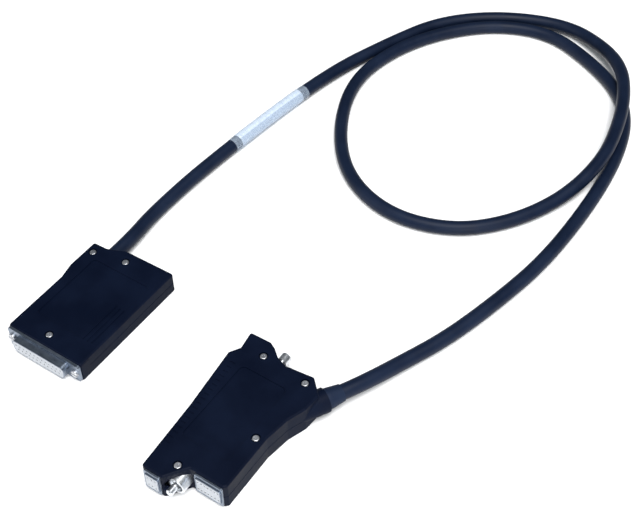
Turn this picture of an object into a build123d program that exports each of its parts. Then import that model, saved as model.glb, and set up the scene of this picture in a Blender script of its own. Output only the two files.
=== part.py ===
"""Multicore control cable: twenty cores in a round sheath between two moulded plugs.

Millimetres, +Z up, and everything lies on the plane z = 0. The long plug's jackscrew runs along Y
at x = 0, and both plugs mate towards -Y. The frame's origin is on the long plug's resting face,
under the jackscrew, level with the front wall of its right-hand half.
"""

import math
import os

from build123d import *

# ---- cable ----
CABLE_OD = 9.0
CORE_OD = 1.05
CORE_SPACING = 1.2
# Cores lie in four levels across the sheath: height from its axis, and how many lie side by side.
CORE_LEVELS = [(3.0, 3), (1.0, 7), (-1.0, 7), (-3.0, 3)]
# The free cable between its two ends: x, y, and how far it's lifted off the table in its own diameters.
ROUTE = [
    (-136, 198, 0.09),
    (-124, 316, 0.09),
    (-105, 378, 0),
    (-87, 421, 0),
    (-51, 453, 0),
    (-5, 469, 0.05),
    (31, 453, 0.55),
    (54, 430, 1.09),
    (68, 401, 1.11),
    (77, 368, 1.0),
    (81, 334, 0.87),
    (73, 298, 0.07),
    (55, 260, 0),
    (27, 232, 0),
    (-14, 222, 0),
    (-56, 239, 0),
    (-87, 279, 0),
    (-104, 326, 0),
    (-98.7, 370, 0),
    (-80, 409, 0),
    (-49, 441, 0),
    (-10, 453, 0),
    (27, 438, 0),
    (57, 419, 0),
    (75, 392, 0),
    (84, 360, 0),
    (88, 323, 0),
    (88.5, 283, 0),
    (86, 240, 0),
    (79, 203, 0),
    (67, 157, 0),
]
CORNER_SHARE = 0.45
CABLE_GAP = 0.05
TABLE_GAP = 0.1
# The marked stretch: a wrapped label under a clear sleeve, on the route's longest straight run.
SLEEVE_RUN = 3
SLEEVE_LENGTH = 75.0
SLEEVE_WALL = 0.5
LABEL_LENGTH = 63.0
LABEL_WALL = 0.15

# ---- hoods ----
PARTING_CHAMFER = 0.25
GRIP_COUNT = 18
GRIP_PITCH = 3.5
GRIP_DEPTH = 0.4

# ---- fasteners ----
SCREW_R = 1.0
SCREW_HEAD_R = 2.0
SCREW_HEAD_H = 1.1
HEAD_SEAT_DEPTH = 1.3
HEAD_SEAT_GAP = 0.65
SHANK_GAP = 0.3
THREAD_GAP = 0.05
INSERT_R = 2.0
INSERT_LENGTH = 4.5
BOSS_WALL = 0.6
CLIP_SCREW_R = 0.95
CLIP_SCREW_HEAD_R = 1.9
CLIP_SCREW_HEAD_H = 1.1
CLIP_WIDTH = 6.0
CLIP_BAND = 0.8
CLIP_TAB = 8.5
CLIP_BOSS_R = 2.3

# ---- short plug: a 25-way D-shaped socket in a flat two-part hood ----
SHORT_X = -142.5
SHORT_FRONT = 20.5
SHORT_WIDTH = 53.5
SHORT_LENGTH = 81.0
SHORT_THICK = 14.0
SHORT_WALL = 1.5
SHORT_FLARE = 2.2
SHORT_SCREWS = [(2.3, 69.0), (23.9, 73.4), (24.2, 7.2)]
SHORT_CABLE_OFFSET = 9.5
D_WIDTH = 38.9
D_HEIGHT = 8.4
D_SLANT = 10.0
D_CORNER = 2.4
D_SHELL = 0.5
D_FLANGE_WIDTH = 53.0
D_FLANGE_HEIGHT = 12.5
D_FLANGE_THICK = 0.8
D_REACH = 4.6
D_PITCH = 2.77
D_ROW = 1.42
D_COUNT = 13
D_REAR_DEPTH = 3.0
D_SCREW_SPACING = 47.04
CONTACT_R = 0.7
CONTACT_BORE_R = 0.5
CONTACT_TAIL = 1.4
CONTACT_GAP = 0.05
CONTACT_INSET = 1.0
CONTACT_BORE = 6.0
MOUTH_R = 0.6
SKIRT_WIDTH = D_WIDTH + 0.8
SKIRT_HEIGHT = D_HEIGHT + 0.4
SKIRT_GAP = 0.25
FLANGE_SCREW_R = 1.4
FLANGE_SCREW_LENGTH = 8.0
FLANGE_HEAD_R = 2.4
FLANGE_HEAD_H = 1.6
FLANGE_INSERT_R = 2.2
END_BLOCK_HALF = 3.4
END_BLOCK_DEPTH = 7.0
SHORT_CLIP_BACK = 22.5
SHEATH_PAST_CLIP = 7.0
FAN_RUN = 3.0
FAN_FRONT = 8.0
FAN_SHARE = 0.35

# ---- long plug: two contact banks with a jackscrew between them ----
LONG_THICK = 19.0
LONG_WALL = 1.8
LONG_FRONT_X = 26.0
NOSE_LEFT = -17.8
NOSE_RIGHT = -4.5
NOSE_REACH = 12.0
STEP_X = 4.0
LONG_REAR = 82.0
EAR_REAR = 88.5
LONG_SCREWS = [(21.0, 33.0), (22.6, 76.0), (-6.6, 78.6)]
GUIDE_SCREW = (-2.4, -2.0)
EXIT_ANGLE = 62.0
NECK_R = 7.2
NECK_LENGTH = 24.0
NECK_ROOT_R = 6.6
BOOT_WALL = 1.0
BOOT_REACH = 10.0
BOOT_COLLAR_R = 6.1
BOOT_TIP_R = 5.0
BOOT_DEPTH = 9.0
BANK_HEIGHT = 11.0
BANK_SHELL = 0.6
BANK_REACH = 1.6
BANK_DEPTH = 8.0
BANK_ROW = 3.0
BANK_CORNER = 0.9
BANK_FLANGE = 1.0
BANK_FLANGE_HEIGHT = 15.4
BANK_RIM = 0.7
BANK_GAP = 0.1
LEFT_BANK_X = -11.0
LEFT_BANK_WIDTH = 10.4
LEFT_BANK_COUNT = 3
LEFT_BANK_PITCH = 2.4
RIGHT_BANK_X = 15.6
RIGHT_BANK_WIDTH = 17.4
RIGHT_BANK_COUNT = 7
RIGHT_BANK_PITCH = 2.1
JACK_R = 2.0
JACK_GAP = 0.06
JACK_TIP = -13.6
JACK_THREAD = 5.2
JACK_RELIEF_R = 1.6
JACK_SHOULDER_R = 3.7
JACK_SHOULDER = 1.4
JACK_HEAD_R = 3.2
JACK_HEAD_LENGTH = 5.5
JACK_HEAD_BACK = 85.8
JACK_GROOVE_R = 1.5
RING_R = 3.4
RING_THICK = 0.8
GUIDE_R = 5.4
GUIDE_MOUTH_R = 4.2
GUIDE_MOUTH_DEPTH = 3.6
GUIDE_FRONT = -8.0
GUIDE_REAR = 8.0
GUIDE_GAP = 0.05
SADDLE_Y = (2.5, 6.0)
SADDLE_HALF = 7.2
LONG_CLIP_S = -22.0
LONG_SHEATH_S = -26.5
LONG_CLIP_TAB = 9.0
CLIP_POCKET_GAP = 0.1
WAIST_X = 17.2
WAIST_Y = (38.0, 28.5)

# ---- worked out from the sizes above ----
SHEATH_R = CABLE_OD / 2
SHORT_MID = SHORT_THICK / 2
SHORT_REAR = SHORT_FRONT + SHORT_LENGTH
SHORT_CENTRE = SHORT_X + SHORT_WIDTH / 2
SHORT_CABLE_X = SHORT_X + SHORT_CABLE_OFFSET
LONG_MID = LONG_THICK / 2
EXIT = Vector(math.cos(math.radians(EXIT_ANGLE)), math.sin(math.radians(EXIT_ANGLE)), 0)
EXIT_SIDE = Vector(-EXIT.Y, EXIT.X, 0)
NECK = Vector(LONG_FRONT_X + 8.0, LONG_REAR - 3.5, LONG_MID)
FLANGE_JOIN = SHORT_FRONT - D_FLANGE_THICK
FLANGE_FRONT = FLANGE_JOIN - D_FLANGE_THICK
SOCKET_FACE = FLANGE_FRONT - D_REACH
INSULATOR_REAR = SHORT_FRONT + D_REAR_DEPTH
SHORT_TAIL_END = INSULATOR_REAR + CONTACT_TAIL
CLIP_Y = SHORT_REAR - SHORT_CLIP_BACK
SHORT_SHEATH_END = CLIP_Y - SHEATH_PAST_CLIP
TUBE_START_Y = SHORT_REAR - 1.0
TOWER_CLEAR = INSERT_R + BOSS_WALL + CORE_OD / 2
BOOT_R = SHEATH_R + CABLE_GAP + BOOT_WALL


def across(y):
    """The upright plane at y whose sketches hold x and z, and whose normal points to the front."""
    return Plane(origin=(0, y, 0), x_dir=(1, 0, 0), z_dir=(0, -1, 0))


def along_exit(distance):
    """The plane across the long plug's cable exit, this far outward from the neck's end."""
    return Plane(origin=NECK + EXIT * distance, x_dir=(-EXIT_SIDE.X, -EXIT_SIDE.Y, 0), z_dir=EXIT)


def rod_y(x, z, radius, front, rear):
    """A round rod along Y."""
    with BuildPart() as rod:
        with BuildSketch(across(rear)):
            with Locations((x, z)):
                Circle(radius)
        extrude(amount=rear - front)
    return rod.part


def rod_z(x, y, radius, low, high):
    """A round upright rod."""
    with BuildPart() as rod:
        with BuildSketch(Plane.XY.offset(low)):
            with Locations((x, y)):
                Circle(radius)
        extrude(amount=high - low)
    return rod.part


def block(x_range, y_range, z_range):
    """A plain block between three pairs of limits."""
    with BuildPart() as solid:
        with BuildSketch(Plane.XY.offset(z_range[0])):
            with Locations(((x_range[0] + x_range[1]) / 2, (y_range[0] + y_range[1]) / 2)):
                Rectangle(x_range[1] - x_range[0], y_range[1] - y_range[0])
        extrude(amount=z_range[1] - z_range[0])
    return solid.part


def cone_on_exit(near, near_r, far, far_r):
    """A round taper on the long plug's exit axis."""
    with BuildPart() as taper:
        with BuildSketch(along_exit(near)):
            Circle(near_r)
        with BuildSketch(along_exit(far)):
            Circle(far_r)
        loft()
    return taper.part


def pan_screw(x, y, seat, tip, shank_r, head_r, head_h):
    """A cross-recessed pan head screw that stands upright, with its head on the seat."""
    with BuildPart() as screw:
        add(rod_z(x, y, shank_r, tip, seat))
        add(rod_z(x, y, head_r, seat, seat + head_h))
        fillet(screw.faces().sort_by(Axis.Z)[-1].edges(), head_h * 0.4)
        with Locations((x, y, seat + head_h)):
            Box(head_r * 1.2, head_r * 0.24, head_h, mode=Mode.SUBTRACT)
            Box(head_r * 0.24, head_r * 1.2, head_h, mode=Mode.SUBTRACT)
    return screw.part


def threaded_insert(x, y, top):
    """A brass insert, bored for the screw, with its top at the parting plane."""
    with BuildPart() as insert:
        add(rod_z(x, y, INSERT_R, top - INSERT_LENGTH, top))
        add(rod_z(x, y, SCREW_R + THREAD_GAP, top - INSERT_LENGTH, top), mode=Mode.SUBTRACT)
    return insert.part


def hollow_half(plan, corner_r, part_z, outer_z, wall, edge_r):
    """One moulded half of a hood: the plan's outline, open at the parting plane."""
    up = 1 if outer_z > part_z else -1
    height = abs(outer_z - part_z)
    with BuildPart() as shell:
        with BuildSketch(Plane.XY.offset(part_z)) as outside:
            with BuildLine():
                Polyline(*plan, close=True)
            make_face()
            fillet(outside.vertices(), corner_r)
        extrude(amount=up * height)
        fillet(shell.faces().sort_by(Axis.Z)[-1 if up > 0 else 0].edges(), edge_r)
        chamfer(shell.faces().sort_by(Axis.Z)[0 if up > 0 else -1].edges(), PARTING_CHAMFER)
        with BuildSketch(Plane.XY.offset(part_z)):
            with BuildLine():
                Polyline(*plan, close=True)
            make_face()
            offset(amount=-wall, kind=Kind.INTERSECTION)
        extrude(amount=up * (height - wall), mode=Mode.SUBTRACT)
    return shell.part


def screw_tower(x, y, part_z, inner_z):
    """The upper half's tower for one screw, from the parting plane to the roof."""
    return rod_z(x, y, INSERT_R + BOSS_WALL, part_z, inner_z)


def head_seat(x, y, part_z, top):
    """What is cut for a screw: its clearance hole and the seat of its head."""
    with BuildPart() as cutter:
        add(rod_z(x, y, SCREW_R + SHANK_GAP, part_z, top))
        add(rod_z(x, y, SCREW_HEAD_R + HEAD_SEAT_GAP, top - HEAD_SEAT_DEPTH, top + 1))
    return cutter.part


# ---- short plug ----
def short_plan():
    """The short hood's outline: its left side swells where the cable comes in."""
    left, right = SHORT_X, SHORT_X + SHORT_WIDTH
    shoulder = SHORT_REAR - 5.2
    return [
        (left, SHORT_FRONT),
        (right, SHORT_FRONT),
        (right + 0.4, SHORT_REAR + 0.4),
        (SHORT_CABLE_X + 9.0, SHORT_REAR - 0.4),
        (SHORT_CABLE_X - 2.0, shoulder),
        (left - SHORT_FLARE, shoulder - 0.4),
        (left - SHORT_FLARE, SHORT_REAR - 27),
        (left, SHORT_REAR - 37),
    ]


def short_screw_places():
    return [(SHORT_X + across_x, SHORT_FRONT + back) for across_x, back in SHORT_SCREWS]


def d_prism(width, height, corner, front, rear):
    """A prism of the D shape, wide side up, centred on the short plug."""
    slant = height * math.tan(math.radians(D_SLANT))
    with BuildPart() as prism:
        with BuildSketch(across(rear)) as face:
            with BuildLine():
                Polyline(
                    (SHORT_CENTRE - width / 2, SHORT_MID + height / 2),
                    (SHORT_CENTRE + width / 2, SHORT_MID + height / 2),
                    (SHORT_CENTRE + width / 2 - slant, SHORT_MID - height / 2),
                    (SHORT_CENTRE - width / 2 + slant, SHORT_MID - height / 2),
                    close=True,
                )
            make_face()
            fillet(face.vertices(), corner)
        extrude(amount=rear - front)
    return prism.part


def flange_screw_xs():
    return [SHORT_CENTRE - D_SCREW_SPACING / 2, SHORT_CENTRE + D_SCREW_SPACING / 2]


def short_half(outer_z):
    """A half of the short hood with its front wall's window, cable port and end blocks."""
    up = outer_z > SHORT_MID
    inner_z = outer_z - SHORT_WALL if up else outer_z + SHORT_WALL
    low, high = min(SHORT_MID, inner_z), max(SHORT_MID, inner_z)
    window = SHORT_FRONT + 3 * SHORT_WALL
    with BuildPart() as half:
        add(hollow_half(short_plan(), 1.4, SHORT_MID, outer_z, SHORT_WALL, 0.9))
        for x in flange_screw_xs():
            edges = (x - END_BLOCK_HALF, x + END_BLOCK_HALF)
            add(block(edges, (SHORT_FRONT + 0.5, SHORT_FRONT + END_BLOCK_DEPTH), (low, high)))
        for x, y in short_screw_places():
            add(screw_tower(x, y, low, high))
        width = SKIRT_WIDTH + 2 * (D_SHELL + SKIRT_GAP)
        height = SKIRT_HEIGHT + 2 * (D_SHELL + SKIRT_GAP)
        add(d_prism(width, height, D_CORNER, SHORT_FRONT - 1, window), mode=Mode.SUBTRACT)
        port_r = SHEATH_R + CABLE_GAP
        add(rod_y(SHORT_CABLE_X, SHORT_MID, port_r, CLIP_Y, SHORT_REAR + 2), mode=Mode.SUBTRACT)
        for x in flange_screw_xs():
            rear = SHORT_FRONT + END_BLOCK_DEPTH + 1
            add(rod_y(x, SHORT_MID, FLANGE_INSERT_R + THREAD_GAP, SHORT_FRONT - 1, rear), mode=Mode.SUBTRACT)
    return half.part


def short_ribs():
    """Three low grip ribs along the right of the short hood's roof."""
    roof = SHORT_THICK - 0.1
    right = SHORT_X + SHORT_WIDTH
    with BuildPart() as ribs:
        for inset in (6.0, 9.0, 12.0):
            edges = (right - inset - 0.5, right - inset + 0.5)
            add(block(edges, (SHORT_FRONT + 6, SHORT_FRONT + 44), (roof - 0.4, roof + 0.1)))
    return ribs.part


with BuildPart() as short_hood_upper:
    add(short_half(SHORT_THICK))
    panel_z = SHORT_THICK - 0.5
    with BuildSketch(Plane.XY.offset(panel_z)):
        with Locations((SHORT_CENTRE + 1.5, SHORT_FRONT + 40.0)):
            RectangleRounded(SHORT_WIDTH - 11.0, 50.0, 2.5)
    extrude(amount=1.0, mode=Mode.SUBTRACT)
    add(short_ribs())
    for place in short_screw_places():
        add(head_seat(*place, SHORT_MID, SHORT_THICK), mode=Mode.SUBTRACT)

with BuildPart() as short_hood_lower:
    add(short_half(0))
    clip_screw_x = SHORT_CABLE_X + SHEATH_R + CLIP_TAB - 3.0
    clip_seat = SHORT_MID - CLIP_BAND / 2
    add(rod_z(clip_screw_x, CLIP_Y, CLIP_BOSS_R, SHORT_WALL / 2, clip_seat))
    bore = CLIP_SCREW_R + THREAD_GAP
    add(rod_z(clip_screw_x, CLIP_Y, bore, SHORT_WALL, clip_seat), mode=Mode.SUBTRACT)
    for place in short_screw_places():
        add(rod_z(*place, INSERT_R + THREAD_GAP, SHORT_WALL, SHORT_MID), mode=Mode.SUBTRACT)

with BuildPart() as short_hood_screws:
    for place in short_screw_places():
        seat_z = SHORT_THICK - HEAD_SEAT_DEPTH
        add(pan_screw(*place, seat_z, SHORT_MID - INSERT_LENGTH + 0.4, SCREW_R, SCREW_HEAD_R, SCREW_HEAD_H))

with BuildPart() as short_hood_inserts:
    for place in short_screw_places():
        add(threaded_insert(*place, SHORT_MID))

with BuildPart() as socket_front_shell:
    with BuildSketch(across(FLANGE_JOIN)) as flange_face:
        with Locations((SHORT_CENTRE, SHORT_MID)):
            RectangleRounded(D_FLANGE_WIDTH, D_FLANGE_HEIGHT, 1.5)
    extrude(amount=D_FLANGE_THICK)
    outer_w = D_WIDTH + 2 * D_SHELL
    add(d_prism(outer_w, D_HEIGHT + 2 * D_SHELL, D_CORNER + D_SHELL, SOCKET_FACE, FLANGE_JOIN))
    add(d_prism(D_WIDTH, D_HEIGHT, D_CORNER, SOCKET_FACE - 1, FLANGE_JOIN + 1), mode=Mode.SUBTRACT)
    for x in flange_screw_xs():
        hole = rod_y(x, SHORT_MID, FLANGE_SCREW_R + SHANK_GAP, FLANGE_FRONT - 1, FLANGE_JOIN + 1)
        add(hole, mode=Mode.SUBTRACT)

with BuildPart() as socket_rear_shell:
    with BuildSketch(across(SHORT_FRONT)):
        with Locations((SHORT_CENTRE, SHORT_MID)):
            RectangleRounded(D_FLANGE_WIDTH, D_FLANGE_HEIGHT, 1.5)
    extrude(amount=D_FLANGE_THICK)
    skirt_w = SKIRT_WIDTH + 2 * D_SHELL
    skirt_rear = INSULATOR_REAR - 1.0
    add(d_prism(skirt_w, SKIRT_HEIGHT + 2 * D_SHELL, D_CORNER, FLANGE_JOIN, skirt_rear))
    cut = d_prism(SKIRT_WIDTH, SKIRT_HEIGHT, D_CORNER, FLANGE_JOIN - 1, skirt_rear + 1)
    add(cut, mode=Mode.SUBTRACT)
    for x in flange_screw_xs():
        hole = rod_y(x, SHORT_MID, FLANGE_SCREW_R + SHANK_GAP, FLANGE_JOIN - 1, SHORT_FRONT + 1)
        add(hole, mode=Mode.SUBTRACT)


def socket_places():
    """Contact centres as (x, z): thirteen in the upper row and twelve between them below."""
    upper = [(SHORT_CENTRE + (i - (D_COUNT - 1) / 2) * D_PITCH, SHORT_MID + D_ROW) for i in range(D_COUNT)]
    lower = [(x + D_PITCH / 2, SHORT_MID - D_ROW) for x, _ in upper[:-1]]
    return upper, lower


def socket_contact(x, z, seat, tail_end):
    """A turned contact: bored from the front for a pin, with a solder cup behind."""
    with BuildPart() as contact:
        add(rod_y(x, z, CONTACT_R, seat, tail_end))
        add(rod_y(x, z, CONTACT_BORE_R, seat - 1, seat + CONTACT_BORE), mode=Mode.SUBTRACT)
    return contact.part


with BuildPart() as socket_insulator:
    gap = 0.05
    add(d_prism(D_WIDTH - 2 * gap, D_HEIGHT - 2 * gap, D_CORNER - gap, SOCKET_FACE, FLANGE_JOIN))
    add(d_prism(SKIRT_WIDTH - 2 * gap, SKIRT_HEIGHT - 2 * gap, D_CORNER - gap, FLANGE_JOIN, INSULATOR_REAR))
    for row in socket_places():
        for x, z in row:
            seat = SOCKET_FACE + CONTACT_INSET
            cavity = rod_y(x, z, CONTACT_R + CONTACT_GAP, seat, INSULATOR_REAR + 1)
            add(cavity, mode=Mode.SUBTRACT)
            add(rod_y(x, z, MOUTH_R, SOCKET_FACE - 1, seat), mode=Mode.SUBTRACT)

with BuildPart() as socket_contacts:
    for row in socket_places():
        for x, z in row:
            seat = SOCKET_FACE + CONTACT_INSET
            add(socket_contact(x, z, seat, SHORT_TAIL_END))


def flange_screw(x):
    """A slotted cheese head screw through the connector's flange."""
    with BuildPart() as screw:
        add(rod_y(x, SHORT_MID, FLANGE_HEAD_R, FLANGE_FRONT - FLANGE_HEAD_H, FLANGE_FRONT))
        fillet(screw.faces().sort_by(Axis.Y)[0].edges(), 0.5)
        slot_y = (FLANGE_FRONT - FLANGE_HEAD_H - 1, FLANGE_FRONT - FLANGE_HEAD_H * 0.6)
        slot_z = (SHORT_MID - 0.35, SHORT_MID + 0.35)
        add(block((x - 3, x + 3), slot_y, slot_z), mode=Mode.SUBTRACT)
        add(rod_y(x, SHORT_MID, FLANGE_SCREW_R, FLANGE_FRONT, FLANGE_FRONT + FLANGE_SCREW_LENGTH))
    return screw.part


with BuildPart() as flange_screws:
    for x in flange_screw_xs():
        add(flange_screw(x))

with BuildPart() as flange_inserts:
    for x in flange_screw_xs():
        rear = SHORT_FRONT + END_BLOCK_DEPTH
        add(rod_y(x, SHORT_MID, FLANGE_INSERT_R, SHORT_FRONT, rear))
        bore_r = FLANGE_SCREW_R + THREAD_GAP
        add(rod_y(x, SHORT_MID, bore_r, SHORT_FRONT - 1, rear + 1), mode=Mode.SUBTRACT)

with BuildPart() as short_cable_clip:
    clip_r = SHEATH_R + CABLE_GAP
    front, rear = CLIP_Y - CLIP_WIDTH / 2, CLIP_Y + CLIP_WIDTH / 2
    add(rod_y(SHORT_CABLE_X, SHORT_MID, clip_r + CLIP_BAND, front, rear))
    tab_end = SHORT_CABLE_X + SHEATH_R + CLIP_TAB
    tab_z = (SHORT_MID - CLIP_BAND / 2, SHORT_MID + CLIP_BAND / 2)
    add(block((SHORT_CABLE_X, tab_end), (front, rear), tab_z))
    add(rod_y(SHORT_CABLE_X, SHORT_MID, clip_r, front - 1, rear + 1), mode=Mode.SUBTRACT)
    hole_r = CLIP_SCREW_R + SHANK_GAP
    add(rod_z(clip_screw_x, CLIP_Y, hole_r, tab_z[0] - 1, tab_z[1] + 1), mode=Mode.SUBTRACT)

with BuildPart() as short_clip_screw:
    clip_top = SHORT_MID + CLIP_BAND / 2
    clip_tip = SHORT_WALL + 0.5
    sizes = (CLIP_SCREW_R, CLIP_SCREW_HEAD_R, CLIP_SCREW_HEAD_H)
    add(pan_screw(clip_screw_x, CLIP_Y, clip_top, clip_tip, *sizes))

with BuildPart() as short_sheath_end:
    add(rod_y(SHORT_CABLE_X, SHORT_MID, SHEATH_R, SHORT_SHEATH_END, TUBE_START_Y))


def core(points):
    """One insulated core along straight runs joined by small bends."""
    with BuildPart() as wire:
        with BuildLine() as path:
            FilletPolyline(*points, radius=2.0)
        with BuildSketch(Plane(origin=path.line @ 0, z_dir=path.line % 0)):
            Circle(CORE_OD / 2)
        sweep()
    return wire.part


def core_starts():
    """Each core's place across the sheath as (sideways, up), level by level from the top."""
    return [
        [((i - (count - 1) / 2) * CORE_SPACING, height) for i in range(count)]
        for height, count in CORE_LEVELS
    ]


def short_core_runs():
    """The routes of the short plug's cores, each to its own contact, clear of the front tower.

    They turn along a slanting line, so the bundle keeps its spacing as it fans out.
    """
    levels = core_starts()
    tower_x = SHORT_X + SHORT_SCREWS[2][0]
    runs = []
    for row, pair in zip(socket_places(), (levels[:2], levels[2:])):
        free = [place for place in row if abs(place[0] - tower_x) > TOWER_CLEAR]
        for (side, up), (x, z) in zip(sorted(pair[0] + pair[1]), free):
            start = (SHORT_CABLE_X + side, SHORT_SHEATH_END, SHORT_MID + up)
            turn = (start[0], SHORT_SHEATH_END - FAN_RUN + FAN_SHARE * side, start[2])
            runs.append([start, turn, (x, SHORT_TAIL_END + FAN_FRONT, z), (x, SHORT_TAIL_END, z)])
    return runs


with BuildPart() as short_cores:
    for run in short_core_runs():
        add(core(run))


# ---- long plug ----
def long_plan():
    """The long hood's outline: a nose on the left of its front and an ear on the left behind."""
    return [
        (NOSE_LEFT, -NOSE_REACH),
        (NOSE_RIGHT, -NOSE_REACH),
        (STEP_X, 0),
        (LONG_FRONT_X - 1.6, 0),
        (LONG_FRONT_X, 1.8),
        (LONG_FRONT_X, 36),
        (LONG_FRONT_X + 2.4, 51),
        (LONG_FRONT_X + 6.5, 62),
        (LONG_FRONT_X + 7.5, LONG_REAR - 9.0),
        (LONG_FRONT_X - 1.5, LONG_REAR),
        (7.0, LONG_REAR - 2.0),
        (0.4, LONG_REAR + 0.4),
        (-4.7, EAR_REAR - 1.8),
        (-8.8, EAR_REAR + 0.3),
        (-22.4, EAR_REAR),
        (-20.6, EAR_REAR - 11.7),
        (-24.5, EAR_REAR - 18.0),
        (NOSE_LEFT - 2.6, 31.4),
        (NOSE_LEFT - 0.6, -2.0),
    ]


BANKS = [
    (LEFT_BANK_X, -NOSE_REACH, LEFT_BANK_WIDTH, LEFT_BANK_COUNT, LEFT_BANK_PITCH),
    (RIGHT_BANK_X, 0.0, RIGHT_BANK_WIDTH, RIGHT_BANK_COUNT, RIGHT_BANK_PITCH),
]


def box_prism(x, width, height, front, rear, corner):
    """A rounded rectangular prism along Y, at the long plug's middle height."""
    with BuildPart() as prism:
        with BuildSketch(across(rear)):
            with Locations((x, LONG_MID)):
                RectangleRounded(width, height, corner)
        extrude(amount=rear - front)
    return prism.part


def neck_half(up):
    """The tapered neck round the cable's boot, cut to the upper or the lower half."""
    reach = 4 * NECK_LENGTH
    heights = (LONG_MID, LONG_MID + LONG_THICK) if up else (LONG_MID - LONG_THICK, LONG_MID)
    with BuildPart() as neck:
        add(cone_on_exit(-0.75 * NECK_LENGTH, NECK_ROOT_R, 0, NECK_R))
        add(block((-reach, reach), (0, 2 * reach), heights), mode=Mode.INTERSECT)
    return neck.part


def long_half(outer_z):
    """A half of the long hood with its neck, bank windows, guide saddle and jackscrew hole."""
    up = outer_z > LONG_MID
    inner_z = outer_z - LONG_WALL if up else outer_z + LONG_WALL
    low, high = min(LONG_MID, inner_z), max(LONG_MID, inner_z)
    boot_bore = BOOT_R + CABLE_GAP
    pocket_r = SHEATH_R + CABLE_GAP + CLIP_BAND + CLIP_POCKET_GAP
    pocket_half = CLIP_WIDTH / 2 + CLIP_POCKET_GAP
    pocket_ends = (LONG_CLIP_S - pocket_half, LONG_CLIP_S + pocket_half)
    with BuildPart() as half:
        add(hollow_half(long_plan(), 1.4, LONG_MID, outer_z, LONG_WALL, 1.1))
        for x, y in LONG_SCREWS:
            add(screw_tower(x, y, low, high))
        add(block((-SADDLE_HALF, SADDLE_HALF), SADDLE_Y, (low, high)))
        add(neck_half(up))
        add(cone_on_exit(-NECK_LENGTH, boot_bore, 1, boot_bore), mode=Mode.SUBTRACT)
        pocket = cone_on_exit(pocket_ends[0], pocket_r, pocket_ends[1], pocket_r)
        add(pocket, mode=Mode.SUBTRACT)
        for x, front, width, _, _ in BANKS:
            window = box_prism(x, width - 2 * BANK_RIM + 2 * BANK_GAP, BANK_HEIGHT + 2 * BANK_GAP,
                               front - 1, front + 3, BANK_CORNER + BANK_GAP)
            add(window, mode=Mode.SUBTRACT)
        guide_hole = rod_y(0, LONG_MID, GUIDE_R + GUIDE_GAP, -NOSE_REACH - 1, GUIDE_REAR + 1)
        add(guide_hole, mode=Mode.SUBTRACT)
        jack_hole = rod_y(0, LONG_MID, JACK_R + JACK_GAP, LONG_REAR - 12, LONG_REAR + 8)
        add(jack_hole, mode=Mode.SUBTRACT)
    return half.part


def guide_boss():
    """The roof's boss that the guide's screw goes through, hollowed to sit on the guide."""
    with BuildPart() as boss:
        add(rod_z(*GUIDE_SCREW, INSERT_R + BOSS_WALL, LONG_MID, LONG_THICK - LONG_WALL / 2))
        hollow = rod_y(0, LONG_MID, GUIDE_R + GUIDE_GAP, -NOSE_REACH, GUIDE_REAR)
        add(hollow, mode=Mode.SUBTRACT)
    return boss.part


def grip_grooves():
    """Shallow grip grooves in a row along the left margin of the long hood's roof."""
    with BuildPart() as grooves:
        for index in range(GRIP_COUNT):
            y = 6.0 + index * GRIP_PITCH
            left = NOSE_LEFT + 1.0 - 0.04 * y
            levels = (LONG_THICK - GRIP_DEPTH, LONG_THICK + 1)
            add(block((left, left + 3.0), (y - 0.4, y + 0.4), levels))
    return grooves.part


with BuildPart() as long_hood_upper:
    add(long_half(LONG_THICK))
    add(guide_boss())
    with BuildSketch(Plane.XY.offset(LONG_THICK - 0.6)):
        with Locations((2.5, 40.0)):
            RectangleRounded(30.0, 54.0, 3.0)
    extrude(amount=1.0, mode=Mode.SUBTRACT)
    add(grip_grooves(), mode=Mode.SUBTRACT)
    for place in LONG_SCREWS:
        add(head_seat(*place, LONG_MID, LONG_THICK), mode=Mode.SUBTRACT)
    add(head_seat(*GUIDE_SCREW, LONG_MID, LONG_THICK), mode=Mode.SUBTRACT)

with BuildPart() as long_hood_lower:
    add(long_half(0))
    clip_centre = NECK + EXIT * LONG_CLIP_S
    clip_screw = clip_centre + EXIT_SIDE * (SHEATH_R + LONG_CLIP_TAB - 3.0)
    seat = LONG_MID - CLIP_BAND / 2
    add(rod_z(clip_screw.X, clip_screw.Y, CLIP_BOSS_R, LONG_WALL / 2, seat))
    add(rod_z(clip_screw.X, clip_screw.Y, bore, LONG_WALL, seat), mode=Mode.SUBTRACT)
    for place in LONG_SCREWS:
        add(rod_z(*place, INSERT_R + THREAD_GAP, LONG_WALL, LONG_MID), mode=Mode.SUBTRACT)

with BuildPart() as long_hood_screws:
    long_seat = LONG_THICK - HEAD_SEAT_DEPTH
    long_tip = LONG_MID - INSERT_LENGTH + 0.4
    for place in LONG_SCREWS:
        add(pan_screw(*place, long_seat, long_tip, SCREW_R, SCREW_HEAD_R, SCREW_HEAD_H))

with BuildPart() as guide_screw:
    guide_tip = LONG_MID + JACK_R + 1.2
    add(pan_screw(*GUIDE_SCREW, long_seat, guide_tip, SCREW_R, SCREW_HEAD_R, SCREW_HEAD_H))

with BuildPart() as long_hood_inserts:
    for place in LONG_SCREWS:
        add(threaded_insert(*place, LONG_MID))

with BuildPart() as jackscrew_guide:
    add(rod_y(0, LONG_MID, GUIDE_R, GUIDE_FRONT, GUIDE_REAR))
    mouth_end = GUIDE_FRONT + GUIDE_MOUTH_DEPTH
    add(rod_y(0, LONG_MID, JACK_R + JACK_GAP, mouth_end - 1, GUIDE_REAR + 1), mode=Mode.SUBTRACT)
    add(rod_y(0, LONG_MID, GUIDE_MOUTH_R, GUIDE_FRONT - 1, mouth_end), mode=Mode.SUBTRACT)
    tapped = rod_z(*GUIDE_SCREW, SCREW_R + THREAD_GAP, LONG_MID + JACK_R + 0.9, LONG_THICK)
    add(tapped, mode=Mode.SUBTRACT)

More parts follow.
